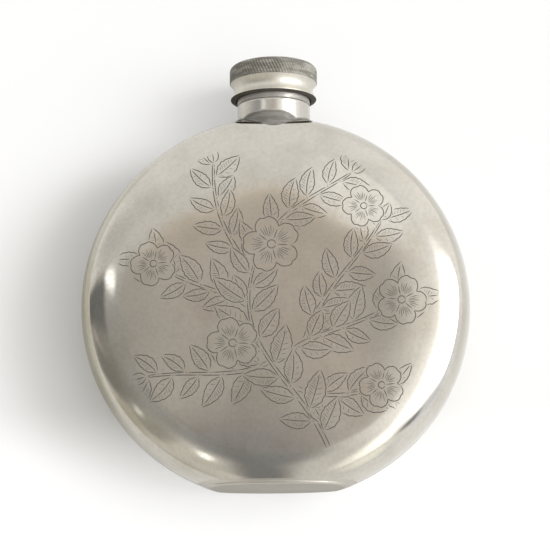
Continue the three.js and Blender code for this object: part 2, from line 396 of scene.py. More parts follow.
@dataclass
class Room:
    """Soft studio light: a pale room with a window on the right, as the metal mirrors it."""

    tone: Colour = (1.0, 1.0, 0.99)
    backdrop: Colour = (1.0, 1.0, 1.0)
    patches: Sequence[RoomPatch] = (
        RoomPatch(PatchShape.OVAL, (130, -100), (55, 60), 0, 35, (0.7, 0.68, 0.64)),
        RoomPatch(PatchShape.OVAL, (-120, -120), (70, 60), 0, 35, (1.25, 1.25, 1.22)),
        RoomPatch(PatchShape.OVAL, (0, -165), (105, 9), 0, 4, (0.62, 0.58, 0.53)),
        RoomPatch(PatchShape.OVAL, (60, 125), (24, 14), 0, 7, (0.6, 0.57, 0.52)),
        RoomPatch(PatchShape.OVAL, (-95, -62), (110, 75), 20, 35, (0.78, 0.75, 0.69)),
        RoomPatch(PatchShape.OVAL, (-60, -76), (24, 16), 0, 12, (0.66, 0.63, 0.57)),
        RoomPatch(PatchShape.OVAL, (-18, -37), (8, 6), 0, 4, (0.74, 0.71, 0.64)),
        RoomPatch(PatchShape.OVAL, (-75, -40), (36, 13), 25, 9, (0.6, 0.57, 0.48)),
        RoomPatch(PatchShape.OVAL, (110, 8), (60, 90), 0, 30, (1.12, 1.14, 1.18)),
        RoomPatch(PatchShape.OVAL, (70, 45), (48, 30), 0, 18, (1.25, 1.23, 1.2)),
        RoomPatch(PatchShape.OVAL, (20, 1), (14, 16), 0, 6, (1.1, 1.06, 1.03)),
        RoomPatch(PatchShape.OVAL, (36, 0), (17, 25), 0, 9, (1.5, 1.48, 1.44)),
        RoomPatch(PatchShape.OVAL, (-38, 28), (26, 8), -18, 7, (0.7, 0.69, 0.66)),
        RoomPatch(PatchShape.OVAL, (10, 22), (6, 5), 0, 2, (1.25, 1.24, 1.21)),
        RoomPatch(PatchShape.OVAL, (-0.5, 4.5), (10.6, 18.3), 0, 0.4, FRINGE_TONE),
        RoomPatch(PatchShape.OVAL, (-5, 8), (10.5, 12.9), 0, 0.4, FRINGE_TONE),
        RoomPatch(PatchShape.PANEL, (8, 15), (5.6, 3.2), -26, 0.5, FRINGE_TONE),
        RoomPatch(PatchShape.PANEL, (8, 15), (5.6, 2.5), -26, 0.6, FIELD_TONE),
        RoomPatch(PatchShape.PANEL, (-0.6, 7.0), (13.9, 9.4), 0, 0.8, FIELD_TONE),
        RoomPatch(PatchShape.OVAL, (-5, 8), (9.9, 12.2), 0, 0.4, FIELD_TONE),
        RoomPatch(PatchShape.OVAL, (-0.5, 4.5), (9.9, 17.5), 0, 0.4, FIELD_TONE),
        RoomPatch(PatchShape.OVAL, (-8, 4), (4, 3), 0, 2, (0.73, 0.68, 0.62)),
        RoomPatch(PatchShape.OVAL, (15, 8), (3.5, 12), 0, 3, (1.18, 1.15, 1.09)),
        RoomPatch(PatchShape.OVAL, (10.5, 11), (2, 5), 0, 2, (0.52, 0.49, 0.46)),
        RoomPatch(PatchShape.OVAL, (9, -3), (5, 4), 20, 2.5, (0.74, 0.7, 0.66)),
        RoomPatch(PatchShape.OVAL, (-3, -3), (8, 3.5), 0, 2.5, (0.46, 0.42, 0.42)),
        RoomPatch(PatchShape.PANEL, (-49.5, -0.5), (38, 15.5), 0, 6, (0.45, 0.44, 0.42)),
        RoomPatch(PatchShape.PANEL, (-62, 13.5), (24, 7.5), -3, 3, (0.22, 0.22, 0.215)),
        RoomPatch(PatchShape.OVAL, (-58, -9), (25, 13), 10, 7, (0.29, 0.28, 0.255)),
        RoomPatch(PatchShape.OVAL, (-66, 2), (14, 2), -8, 2, (0.55, 0.5, 0.47)),
        RoomPatch(PatchShape.OVAL, (-32, 17), (8, 2.0), -16, 0.8, (2.0, 2.0, 2.0)),
        RoomPatch(PatchShape.PANEL, (47, 2.5), (18, 19.5), -5, 4.5, (2.4, 2.4, 2.4)),
        RoomPatch(PatchShape.PANEL, (52, 4), (12, 16), -5, 6, (10.0, 10.0, 10.0)),
        RoomPatch(PatchShape.OVAL, (32, -21), (5.5, 16), -38, 5, (2.6, 2.6, 2.5)),
        RoomPatch(PatchShape.OVAL, (36, -50), (10, 18), 24, 7, (1.35, 1.34, 1.24)),
        RoomPatch(PatchShape.OVAL, (46, -28), (12, 5), -20, 3, (0.36, 0.36, 0.38)),
        RoomPatch(PatchShape.OVAL, (66, -27), (12, 8), 0, 6, (0.95, 0.97, 1.05)),
        RoomPatch(PatchShape.OVAL, (-36, -24), (16, 7), 35, 4, (0.45, 0.44, 0.39)),
        RoomPatch(PatchShape.OVAL, (-5, -13), (13, 10), 0, 5, (0.42, 0.42, 0.42)),
        RoomPatch(PatchShape.OVAL, (-4, -42), (8, 40), 0, 5, (0.28, 0.28, 0.28)),
        RoomPatch(PatchShape.OVAL, (-17.5, -26), (1.8, 3.4), -20, 1.2, (2.2, 2.2, 2.1)),
        RoomPatch(PatchShape.OVAL, (-37, -17), (3, 1.6), 40, 1, (1.1, 1.1, 1.0)),
        RoomPatch(PatchShape.OVAL, (-27, -28), (6, 2.5), 25, 2, (0.78, 0.76, 0.68)),
    )

    def build(self) -> None:
        """Makes the world: the room for light and mirror images, and a white backdrop for the camera."""
        world = bpy.data.worlds.new("studio_room")
        bpy.context.scene.world = world
        graph = Graph(world)
        towards = graph.node("ShaderNodeTexCoord", {}, {}, "Generated")
        parts = graph.node("ShaderNodeSeparateXYZ", {}, {0: towards})
        sockets = parts.socket.node.outputs
        x, y, z = (Signal(graph, sockets[i]) for i in range(3))
        away = graph.maths("ARCCOSINE", graph.maths("MINIMUM", graph.maths("MAXIMUM", -y, -1.0), 1.0))
        flat = graph.maths("MAXIMUM", (x * x + z * z) ** 0.5, 1e-5)
        degrees = away / flat * math.degrees(1.0)
        right, above = x * degrees, z * degrees
        colour: Signal | Colour = self.tone
        for patch in self.patches:
            colour = graph.mix(patch.mask(graph, right, above), colour, patch.tone)
        lit = graph.node("ShaderNodeBackground", {}, {"Color": colour, "Strength": 1.0})
        plain = graph.node("ShaderNodeBackground", {}, {"Color": rgba(self.backdrop), "Strength": 1.0})
        seen = graph.node("ShaderNodeLightPath", {}, {}, "Is Camera Ray")
        surface = graph.node("ShaderNodeMixShader", {}, {0: seen, 1: lit, 2: plain})
        graph.node("ShaderNodeOutputWorld", {}, {"Surface": surface})


@dataclass
class Camera:
    """A long lens that looks a little upwards at the front, as the photograph does."""

    aim: Vector
    distance: float = 715 * MM
    elevation: float = -11.9
    azimuth: float = 0.0
    roll: float = -0.6
    pixels_per_mm: float = 3.531
    aim_pixel: Point = (275.7, 307.1)

    def build(self) -> bpy.types.Object:
        """Makes the scene's camera.

        Returns:
            The camera object.
        """
        azimuth, elevation = math.radians(self.azimuth), math.radians(self.elevation)
        back = Vector((math.sin(azimuth) * math.cos(elevation), -math.cos(azimuth) * math.cos(elevation),
                       math.sin(elevation)))
        level = (-back).cross(Vector((0, 0, 1))).normalized()
        tilt = Matrix.Rotation(-math.radians(self.roll), 3, -back)
        right = tilt @ level
        up = right.cross(-back)
        middle = PICTURE_SIDE / 2
        per_pixel = MM / self.pixels_per_mm
        across = right * ((middle - self.aim_pixel[0]) * per_pixel)
        upwards = up * ((self.aim_pixel[1] - middle) * per_pixel)
        place = self.aim + back * self.distance
        ahead = (self.aim + across + upwards - place).normalized()
        right = (right - ahead * right.dot(ahead)).normalized()
        lens = bpy.data.cameras.new("photo_camera")
        lens.sensor_width = SENSOR_WIDTH
        lens.lens = self.pixels_per_mm * self.distance / MM * SENSOR_WIDTH / PICTURE_SIDE
        lens.clip_start, lens.clip_end = 10 * MM, 20.0
        made = bpy.data.objects.new("photo_camera", lens)
        axes = Matrix((right, right.cross(ahead), -ahead)).transposed()
        made.matrix_world = Matrix.Translation(place) @ axes.to_4x4()
        bpy.context.scene.collection.objects.link(made)
        bpy.context.scene.camera = made
        return made


@dataclass
class Stage:
    """The pale surface that the flask lies against, and the one that it stands on in views from above."""

    behind: float
    below: float
    half_size: float = 0.9
    tone: Colour = (0.82, 0.825, 0.83)
    # The pale tone below a height and the glows are painted light: they lift the flask's shadow on this
    # surface below it and towards the top beside the neck.
    pale: Colour = (0.99, 0.99, 0.99)
    painted_light_height: float = 28.0
    painted_glow: float = 0.6
    painted_glow_full: float = -5.0
    painted_top_glow: float = 0.28
    painted_top_reach: Point = (88.0, 106.0)
    # Painted shade: in mirror images the surface darkens towards the lower left, standing in for the flask's
    # shadow on it.
    painted_shade: Colour = (0.58, 0.57, 0.51)
    painted_shade_way: Colour = (0.87, 0.0, 0.5)
    painted_shade_reach: Point = (-60.0, 45.0)
    near: float = 8 * MM
    far: float = 15 * MM

    def build(self) -> None:
        """Makes both surfaces; each shows only from its own side."""
        rest = self.sheet("rest_surface", Matrix.Rotation(math.pi / 2, 4, "X"), Vector((0, self.behind, 0)))
        floor = self.sheet("floor", Matrix.Identity(4), Vector((0, 0, self.below)))
        for ray in ("diffuse", "glossy", "transmission", "shadow", "volume_scatter"):
            setattr(floor, f"visible_{ray}", False)

    def sheet(self, name: str, turn: Matrix, place: Vector) -> bpy.types.Object:
        """Makes one surface.

        Args:
            name: The object's name.
            turn: How the level sheet is turned.
            place: Its middle.

        Returns:
            The surface, not yet marked as stage.
        """
        shape = bmesh.new()
        bmesh.ops.create_grid(shape, x_segments=1, y_segments=1, size=self.half_size)
        bmesh.ops.transform(shape, matrix=Matrix.Translation(place) @ turn, verts=shape.verts)
        made = new_object(name, mesh_of(shape, name))
        made.data.materials.append(self.material(name))
        return made

    def material(self, name: str) -> bpy.types.Material:
        """Builds a pale matt material that is clear from behind, and in mirror images right in front of it.

        Args:
            name: The material's name.

        Returns:
            The material, with painted light below the flask and towards the top beside the neck, and painted
            shade in its mirror images towards the lower left.
        """
        made = bpy.data.materials.new(name)
        graph = Graph(made)
        place = graph.millimetres()
        level = graph.vector("DOT_PRODUCT", place, (0.0, 0.0, 1.0), output="Value")
        along = graph.vector("DOT_PRODUCT", place, self.painted_shade_way, output="Value")
        # Painted light: the surface is paler below the flask, lifting the shadow there.
        tone = graph.mix(level.between(0.0, self.painted_light_height, 1.0, 0.0), self.tone, self.pale)
        clear = graph.node("ShaderNodeBsdfTransparent")
        behind = graph.node("ShaderNodeNewGeometry", {}, {}, "Backfacing")
        mirrored = graph.node("ShaderNodeLightPath", {}, {}, "Is Glossy Ray")
        seen = graph.maths("MAXIMUM", graph.node("ShaderNodeLightPath", {}, {}, "Is Camera Ray"), mirrored)
        length = graph.node("ShaderNodeLightPath", {}, {}, "Ray Length")
        # Painted shade: mirror images of the surface darken towards the lower left.
        tone = graph.mix(mirrored * along.between(*self.painted_shade_reach, 1.0, 0.0), tone, self.painted_shade)
        matt = graph.node("ShaderNodeBsdfDiffuse", {}, {"Color": tone})
        # Painted light: an emission glow below the flask and towards the top, for camera and mirror rays,
        # lifts the shadow there.
        white = graph.node("ShaderNodeEmission", {}, {"Color": rgba(self.pale), "Strength": 1.0})
        foot = level.between(self.painted_glow_full, self.painted_light_height, self.painted_glow, 0.0)
        painted_glow = seen * (foot + level.between(*self.painted_top_reach, 0.0, self.painted_top_glow))
        matt = graph.node("ShaderNodeMixShader", {}, {0: painted_glow, 1: matt, 2: white})
        near = mirrored * length.between(self.near, self.far, 1.0, 0.0)
        hidden = graph.maths("MAXIMUM", behind, near)
        surface = graph.node("ShaderNodeMixShader", {}, {0: hidden, 1: matt, 2: clear})
        graph.node("ShaderNodeOutputMaterial", {}, {"Surface": surface})
        return made


def mesh_of(shape: bmesh.types.BMesh, name: str) -> bpy.types.Mesh:
    """Turns a bmesh into a mesh and frees it."""
    mesh = bpy.data.meshes.new(name)
    shape.to_mesh(mesh)
    shape.free()
    return mesh


def new_object(name: str, data: bpy.types.ID) -> bpy.types.Object:
    """Links a new object at the origin."""
    made = bpy.data.objects.new(name, data)
    bpy.context.scene.collection.objects.link(made)
    return made


def bend(start: Point, corner: Point, end: Point, steps: int) -> list[Point]:
    """Rounds a corner with a quadratic curve.

    Args:
        start: Where the curve starts.
        corner: The corner that it rounds.
        end: Where it ends.
        steps: The number of stretches.

    Returns:
        The curve's points, both ends included.
    """
    points = []
    for i in range(steps + 1):
        t = i / steps
        weights = ((1 - t) ** 2, 2 * t * (1 - t), t ** 2)
        points.append(tuple(sum(w * p[k] for w, p in zip(weights, (start, corner, end))) for k in (0, 1)))
    return points


def eased(value: float, low: float, high: float) -> float:
    """Eases from 0 at low to 1 at high."""
    t = min(1.0, max(0.0, (value - low) / (high - low)))
    return t * t * (3 - 2 * t)


class SpinAxis(Enum):
    """The axis that a profile turns about."""

    DISC = Vector((0, 1, 0))
    NECK = Vector((0, 0, 1))


def turned(profile: Sequence[Vector], axis: SpinAxis, centre: Vector, steps: int,
           closed: bool = False) -> bmesh.types.BMesh:
    """Spins a profile once round into a closed solid.

    Args:
        profile: Points of the profile, which starts and ends on the axis unless it is closed.
        axis: The axis.
        centre: A point on the axis.
        steps: The number of steps in the full turn.
        closed: Whether the profile's end joins its start, for a ring.

    Returns:
        The solid, with its faces outwards.
    """
    shape = bmesh.new()
    verts = [shape.verts.new(point) for point in profile]
    pairs = zip(verts, verts[1:] + verts[:1]) if closed else zip(verts, verts[1:])
    edges = [shape.edges.new(pair) for pair in pairs]
    bmesh.ops.spin(shape, geom=[*verts, *edges], cent=centre, axis=axis.value, angle=TURN, steps=steps,
                   use_merge=True)
    bmesh.ops.remove_doubles(shape, verts=shape.verts, dist=MERGE_WITHIN)
    bmesh.ops.dissolve_degenerate(shape, dist=MERGE_WITHIN, edges=shape.edges)
    bmesh.ops.recalc_face_normals(shape, faces=shape.faces)
    return shape


def cut_away(shape: bmesh.types.BMesh, height: float, above: bool) -> None:
    """Cuts a solid at a height and closes it flat.

    Args:
        shape: The solid.
        height: The height of the cut.
        above: Whether what is above goes, and not what is below.
    """
    geom = [*shape.verts, *shape.edges, *shape.faces]
    bmesh.ops.bisect_plane(shape, geom=geom, dist=MERGE_WITHIN, plane_co=(0, 0, height), plane_no=(0, 0, 1),
                           clear_outer=above, clear_inner=not above)
    rim = [edge for edge in shape.edges if edge.is_boundary]
    bmesh.ops.holes_fill(shape, edges=rim, sides=0)
    bmesh.ops.recalc_face_normals(shape, faces=shape.faces)


class Joining(Enum):
    """What a Boolean does with the second solid."""

    CUT = "DIFFERENCE"
    JOIN = "UNION"


def combined(first: bpy.types.Mesh, second: bpy.types.Mesh, joining: Joining) -> bpy.types.Mesh:
    """Cuts or joins two closed meshes.

    Args:
        first: The mesh that is worked on.
        second: The tool or the addition.
        joining: What is done.

    Returns:
        A new mesh.
    """
    worked, tool = new_object("worked", first), new_object("tool", second)
    step = worked.modifiers.new("step", "BOOLEAN")
    step.object, step.operation, step.solver = tool, joining.value, "MANIFOLD"
    graph = bpy.context.evaluated_depsgraph_get()
    made = bpy.data.meshes.new_from_object(worked.evaluated_get(graph))
    for spare in (worked, tool):
        data = spare.data
        bpy.data.objects.remove(spare)
        bpy.data.meshes.remove(data)
    return made


@dataclass
class Dressing:
    """Says what a finished mesh is: its name, the body it rides on, and the node that it stands for."""

    name: str
    body: str
    node: str
    finish: Finish
    crease: float = 32.0

    def apply(self, mesh: bpy.types.Mesh, recess: Callable[[Vector, Vector], float] | None = None,
              normal: Callable[[Vector, Vector], Vector | None] | None = None) -> bpy.types.Object:
        """Makes the piece.

        Args:
            mesh: The finished mesh, in place.
            recess: Gives how deep and so how tarnished a point on a face with a given normal lies, and on the
                cap and collar also how much painted shade it takes.
            normal: Gives the true normal of a point on a face with a given normal, or None to keep its own.

        Returns:
            The piece.
        """
        piece = new_object(self.name, mesh)
        mesh.materials.clear()
        mesh.materials.append(self.finish.value.material())
        mesh.polygons.foreach_set("use_smooth", [True] * len(mesh.polygons))
        mesh.set_sharp_from_angle(angle=math.radians(self.crease))
        if recess:
            depths = mesh.attributes.new(RECESS, "FLOAT", "CORNER")
            depths.data.foreach_set("value", self.by_corner(mesh, recess))
        if normal:
            unset = Vector((0, 0, 0))
            mesh.normals_split_custom_set([true or unset for true in self.by_corner(mesh, normal)])
        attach(piece, self.body)
        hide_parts(self.node)
        LOG.info("%s: %d faces, rides on %s", self.name, len(mesh.polygons), self.body)
        return piece

    @staticmethod
    def by_corner(mesh: bpy.types.Mesh, rule: Callable[[Vector, Vector], Result]) -> list[Result]:
        """Applies a rule to each corner of a mesh.

        Args:
            mesh: The mesh.
            rule: Takes the corner's point and its face's normal.

        Returns:
            The results in the order of the corners.
        """
        found: list[Result | None] = [None] * len(mesh.loops)
        for face in mesh.polygons:
            for corner in face.loop_indices:
                found[corner] = rule(mesh.vertices[mesh.loops[corner].vertex_index].co, face.normal)
        return found


@dataclass(frozen=True)
class Arc:
    """One arc of the body's outline, in the plane of radius and depth."""

    r: float
    depth: float
    radius: float
    start: float
    end: float

    def at(self, angle: float, inset: float) -> Point:
        """Gives the point where the outward normal has an angle in degrees, moved inwards."""
        size, turn = self.radius - inset, math.radians(angle)
        return self.r + size * math.sin(turn), self.depth + size * math.cos(turn)

    def points(self, inset: float, step: float) -> list[Point]:
        """Divides the arc into steps of at most so many degrees, both ends included."""
        count = max(2, math.ceil((self.end - self.start) / step))
        return [self.at(self.start + (self.end - self.start) * i / count, inset) for i in range(count + 1)]


@dataclass
class Outline:
    """The body's outline of one half, as tangent arcs from the dome to the seam."""

    radius: float
    side_radius: float = 20 * MM
    side_from: float = 70.0
    shoulder_radius: float = 6.6 * MM
    shoulder_from: float = 24.0
    roll_radius: float = 24 * MM
    roll_from: float = 5.6
    arcs: list[Arc] = field(init=False)

    def __post_init__(self) -> None:
        """Works out the dome, the roll at its edge, the shoulder and the side from the sizes."""
        side = Arc(self.radius - self.side_radius, 0.0, self.side_radius, self.side_from, 90.0)
        shoulder = self.inside_of(side, self.shoulder_radius, self.shoulder_from)
        roll = self.inside_of(shoulder, self.roll_radius, self.roll_from)
        dome = self.inside_of(roll, self.roll_radius + roll.r / math.sin(math.radians(self.roll_from)), 0.0)
        self.arcs = [dome, roll, shoulder, side]

    @staticmethod
    def inside_of(outer: Arc, radius: float, start: float) -> Arc:
        """Sets an arc tangent to the next one outwards.

        Args:
            outer: The arc that it runs into.
            radius: Its radius.
            start: The slope at its inner end, in degrees.

        Returns:
            The arc.
        """
        gap, join = outer.radius - radius, math.radians(outer.start)
        r, depth = outer.r + gap * math.sin(join), outer.depth + gap * math.cos(join)
        return Arc(r, depth, radius, start, outer.start)

    def arc_over(self, r: float) -> Arc:
        """Finds the arc that a distance from the disc's axis lies on."""
        return next((arc for arc in self.arcs if r <= arc.at(arc.end, 0.0)[0]), self.arcs[-1])

    def depth(self, r: float, inset: float = 0.0) -> float:
        """Gives the depth of the surface at a distance from the disc's axis."""
        arc = self.arc_over(r)
        return arc.depth + math.sqrt(max(0.0, (arc.radius - inset) ** 2 - (r - arc.r) ** 2))

    def half_height(self, depth: float) -> float:
        """Gives the body's radius at a depth from the seam."""
        shoulder, side = self.arcs[2:]
        arc = side if abs(depth) <= side.at(side.start, 0.0)[1] else shoulder
        return arc.r + math.sqrt(max(0.0, arc.radius ** 2 - (abs(depth) - arc.depth) ** 2))

    def normal(self, r: float) -> Point:
        """Gives the outward normal at a distance from the axis, as radius and depth."""
        arc = self.arc_over(r)
        sin = max(-1.0, min(1.0, (r - arc.r) / arc.radius))
        return sin, math.sqrt(1 - sin ** 2)

    def points(self, inset: float, steps: Sequence[float]) -> list[Point]:
        """Lists the outline from the dome's middle to the seam.

        Args:
            inset: How far inside the surface.
            steps: The largest step on each arc, in degrees.

        Returns:
            Points of radius and depth.
        """
        found: list[Point] = []
        for arc, step in zip(self.arcs, steps):
            found += arc.points(inset, step)[1 if found else 0:]
        return found


class Graver:
    """Lays strokes in the plan of the dome, keeps them apart and hides what is behind earlier motifs."""

    STEP = 0.4
    CELL = 1.0
    CLEAR = 0.07

    def __init__(self, reach: float) -> None:
        """Starts with an empty round of a given radius, in millimetres."""
        self.reach = reach
        self.strokes: list[list[tuple[Vector, float]]] = []
        self.masks: list[tuple[Vector, float, list[Vector]]] = []
        self.cells: dict[tuple[int, int], list[tuple[Vector, float]]] = {}

    def cut(self, path: Sequence[Vector], width: float) -> None:
        """Cuts a stroke where it shows.

        Args:
            path: Points that it passes through.
            width: Its full width; it tapers at both ends.
        """
        run: list[Vector] = []
        for point in [*self.resampled(path), None]:
            if point is not None and self.is_free(point, width):
                run.append(point)
                continue
            if len(run) > 2:
                self.keep(run, width)
            run = []

    def hide(self, outline: Sequence[Vector]) -> None:
        """Keeps later strokes out of a closed outline."""
        middle = sum(outline, Vector((0, 0))) / len(outline)
        self.masks.append((middle, max((p - middle).length for p in outline), list(outline)))

    def resampled(self, path: Sequence[Vector]) -> list[Vector]:
        """Spaces a path's points evenly."""
        found = [path[0].copy()]
        for start, end in zip(path, path[1:]):
            while (end - found[-1]).length >= self.STEP:
                reached = found[-1]
                ahead = (end - reached).normalized() * self.STEP
                found.append(reached + ahead)
        return found

    def is_free(self, point: Vector, width: float) -> bool:
        """Says whether a stroke may pass a point."""
        if point.length > self.reach:
            return False
        column, row = math.floor(point.x / self.CELL), math.floor(point.y / self.CELL)
        for i in (column - 1, column, column + 1):
            for j in (row - 1, row, row + 1):
                for other, other_width in self.cells.get((i, j), ()):
                    if (other - point).length < (width + other_width) / 2 + self.CLEAR:
                        return False
        return not any((point - middle).length < size and inside(point, outline)
                       for middle, size, outline in self.masks)

    def keep(self, run: list[Vector], width: float) -> None:
        """Stores a stroke, tapered at its ends."""
        last = len(run) - 1
        widths = [width * (0.35 + 0.65 * min(1.0, min(i, last - i) / 2.5)) for i in range(len(run))]
        self.strokes.append(list(zip(run, widths)))
        for point, size in self.strokes[-1]:
            cell = (math.floor(point.x / self.CELL), math.floor(point.y / self.CELL))
            self.cells.setdefault(cell, []).append((point, size))


def inside(point: Vector, outline: Sequence[Vector]) -> bool:
    """Says whether a point lies in a closed outline."""
    found = False
    for a, b in zip(outline, [*outline[1:], outline[0]]):
        if (a.y > point.y) != (b.y > point.y):
            if point.x < (b.x - a.x) * (point.y - a.y) / (b.y - a.y) + a.x:
                found = not found
    return found


def heading(degrees: float) -> Vector:
    """Gives the unit vector of a direction in the plan."""
    return Vector((math.cos(math.radians(degrees)), math.sin(math.radians(degrees))))


@dataclass(frozen=True)
class Bough:
    """A branch of the engraved spray: a curve through the plan, with its leaves."""

    start: Point
    handle: Point
    end_handle: Point
    end: Point
    leaf_length: float
    spacing: float
    first: float = 0.12

    def points(self, count: int = 80) -> list[Vector]:
        """Lists points on the curve."""
        knots = [Vector(p) for p in (self.start, self.handle, self.end_handle, self.end)]
        return [Vector(p) for p in interpolate_bezier(*knots, count)]


@dataclass
class Engraving:
    """A generic spray of blossom and hatched leaves, cut into the dome."""

    reach: float = 45.5
    line: float = 0.27
    fine: float = 0.19
    sink: float = 0.75
    seed: int = 11
    boughs: Sequence[Bough] = (
        Bough((14, -42), (6, -22), (-16, -14), (-4, 14), 10.0, 7.6),
        Bough((-4, 14), (2, 26), (14, 30), (22, 36), 8.5, 6.4),
        Bough((-6, -4), (-16, 4), (-26, 2), (-38, 14), 8.8, 6.4),
        Bough((-7, 8), (-14, 18), (-18, 26), (-17, 40), 8.2, 6.2),
        Bough((3, -16), (14, -8), (24, -10), (38, 2), 9.2, 6.6),
        Bough((-1, -18), (-12, -24), (-22, -20), (-36, -22), 9.0, 6.4),
        Bough((6, -26), (16, -30), (24, -26), (34, -26), 8.6, 6.4),
        Bough((8, -12), (14, 4), (22, 8), (30, 22), 8.4, 6.2),
    )
    blossoms: Sequence[tuple[float, float, float]] = (
        (-1, 15, 8.2), (-34, 10, 6.6), (35, -1, 7.2), (-12, -13, 7.4), (25, 26, 6.2), (29, -25, 6.4),
    )
    buds: Sequence[tuple[float, float, float]] = ((-17, 39, 95), (22, 36, 35), (-36, -22, 190), (30, 22, 60))

    def design(self) -> Graver:
        """Draws the spray from front to back.

        Returns:
            The graver with its strokes.
        """
        graver, rng = Graver(self.reach), random.Random(self.seed)
        for x, y, radius in self.blossoms:
            self.blossom(graver, Vector((x, y)), radius, rng.uniform(0, 72))
        for x, y, turn in self.buds:
            self.leaf(graver, Vector((x, y)), turn, 5.5, 3.2, 10, 1.1)
        for bough in self.boughs:
            self.leaves(graver, bough, rng)
        for bough in self.boughs:
            self.stem(graver, bough)
        LOG.info("engraving: %d strokes", len(graver.strokes))
        return graver

    def leaves(self, graver: Graver, bough: Bough, rng: random.Random) -> None:
        """Sets leaves along a bough, left and right in turn.

        Args:
            graver: Takes the strokes.
            bough: The bough.
            rng: Varies the leaves.
        """
        path = bough.points()
        travelled, due, side = 0.0, bough.first * bough.spacing * 4, 1
        for a, b in zip(path, path[1:]):
            travelled += (b - a).length
            if travelled < due:
                continue
            due += bough.spacing * rng.uniform(0.45, 0.6)
            side = -side
            along = math.degrees(math.atan2(b.y - a.y, b.x - a.x))
            length = bough.leaf_length * rng.uniform(0.85, 1.12)
            turn = along + side * rng.uniform(44, 62)
            self.leaf(graver, b + heading(turn) * 1.2, turn, length, length * rng.uniform(0.44, 0.54),
                      -side * rng.uniform(8, 34), 0.85)

    def leaf(self, graver: Graver, base: Vector, turn: float, length: float, width: float, curl: float,
             hatch: float) -> None:
        """Cuts a leaf with its rib, its veins and shading on one side.

        Args:
            graver: Takes the strokes.
            base: Where the leaf starts.
            turn: Its direction in degrees.
            length: Its length.
            width: Its width.
            curl: How far it turns from its base to its tip.
            hatch: The space between its shading strokes.
        """
        middle = base + heading(turn) * (length / 2)
        tip = middle + heading(turn + curl) * (length / 2)

        def rib(t: float) -> Vector:
            """Gives a point on the middle rib."""
            return Vector(bend(tuple(base), tuple(middle), tuple(tip), 40)[round(40 * min(1.0, max(0.0, t)))])

        def rim(t: float, side: int) -> Vector:
            """Gives a point on the leaf's edge."""
            across = heading(turn + curl * t + 90 * side)
            swell = math.sin(math.pi * min(1.0, t) ** 0.78) ** 0.9
            ripple = 1 + 0.07 * math.sin(t * 34)
            return rib(t) + across * (width / 2 * swell * ripple)

        sides = {side: [rim(i / 30, side) for i in range(1, 31)] for side in (1, -1)}
        for side in (1, -1):
            graver.cut([base, *sides[side]], self.line)
        graver.cut([base - heading(turn) * 1.2, *[rib(i / 30) for i in range(28)]], self.line)
        count = int(length / hatch)
        for i in range(1, count):
            t = i / count * 0.86
            for side, far in ((1, 0.86), (-1, 0.74 if i % 2 else 0.0)):
                if far:
                    end = rim(t + 0.14, side)
                    start = rib(t)
                    graver.cut([start.lerp(end, 0.1 + (far - 0.1) * k / 6) for k in range(7)], self.fine)
        graver.hide([base, *sides[1], *reversed(sides[-1])])

    def blossom(self, graver: Graver, centre: Vector, radius: float, turn: float) -> None:
        """Cuts an open five-petalled blossom.

        Args:
            graver: Takes the strokes.
            centre: Its middle.
            radius: Its radius.
            turn: How far it is turned, in degrees.
        """
        def edge(degrees: float) -> float:
            """Gives the blossom's radius in a direction."""
            lobe = abs(math.cos(math.radians(2.5 * (degrees - turn))))
            notch = 0.07 * max(0.0, 1 - abs(((degrees - turn + 36) % 72) - 36) / 9)
            return radius * (0.60 + 0.40 * lobe ** 0.55 - notch)

        outline = [centre + heading(a) * edge(a) for a in range(0, 360, 3)]
        graver.cut([*outline, outline[0]], self.line)
        graver.cut([centre + heading(a) * radius * 0.15 for a in range(0, 361, 15)], self.line)
        for petal in range(5):
            middle = turn + 72 * petal
            gap = middle + 36
            graver.cut([centre + heading(gap) * radius * (0.2 + 0.38 * k / 6) for k in range(7)], self.line)
            for offset, near, far in ((-22, 0.34, 0.62), (-13, 0.30, 0.70), (-5, 0.27, 0.62), (4, 0.27, 0.74),
                                      (12, 0.30, 0.66), (21, 0.34, 0.72)):
                way = heading(middle + offset) * radius
                graver.cut([centre + way * (near + (far - near) * k / 6) for k in range(7)], self.fine)
        graver.hide(outline)

    def stem(self, graver: Graver, bough: Bough) -> None:
        """Cuts a bough as two lines that draw together."""
        path = bough.points()
        for side in (1, -1):
            line = []
            for i, (a, b) in enumerate(zip(path, path[1:])):
                ahead = (b - a).normalized()
                apart = 0.55 - 0.28 * i / len(path)
                line.append(a + Vector((-ahead.y, ahead.x)) * (side * apart))
            graver.cut(line, self.line)

    def cutter(self, body: "Body") -> bpy.types.Mesh:
        """Makes the solid that the graver takes out of the dome.

        Args:
            body: Gives the dome's form.

        Returns:
            One closed mesh of all the strokes.
        """
        curve = bpy.data.curves.new("strokes", "CURVE")
        curve.dimensions, curve.twist_mode = "3D", "Z_UP"
        curve.bevel_depth, curve.bevel_resolution, curve.use_fill_caps = 1.0, 0, True
        for stroke in self.design().strokes:
            spline = curve.splines.new("POLY")
            spline.points.add(len(stroke) - 1)
            for knot, (point, width) in zip(spline.points, stroke):
                half = width / 2 / self.sink
                knot.co = (point.x, point.y, half * (1 - self.sink), 1.0)
                knot.radius = half
        flat = new_object("strokes", curve)
        graph = bpy.context.evaluated_depsgraph_get()
        mesh = bpy.data.meshes.new_from_object(flat.evaluated_get(graph))
        bpy.data.objects.remove(flat)
        bpy.data.curves.remove(curve)
        shape = bmesh.new()
        shape.from_mesh(mesh)
        bpy.data.meshes.remove(mesh)
        bmesh.ops.remove_doubles(shape, verts=shape.verts, dist=1e-4)
        bmesh.ops.recalc_face_normals(shape, faces=shape.faces)
        for vert in shape.verts:
            x, z, lift = vert.co * MM
            vert.co = body.centre + Vector((x, -body.outline.depth(math.hypot(x, z)) - lift, z))
        return mesh_of(shape, "strokes")


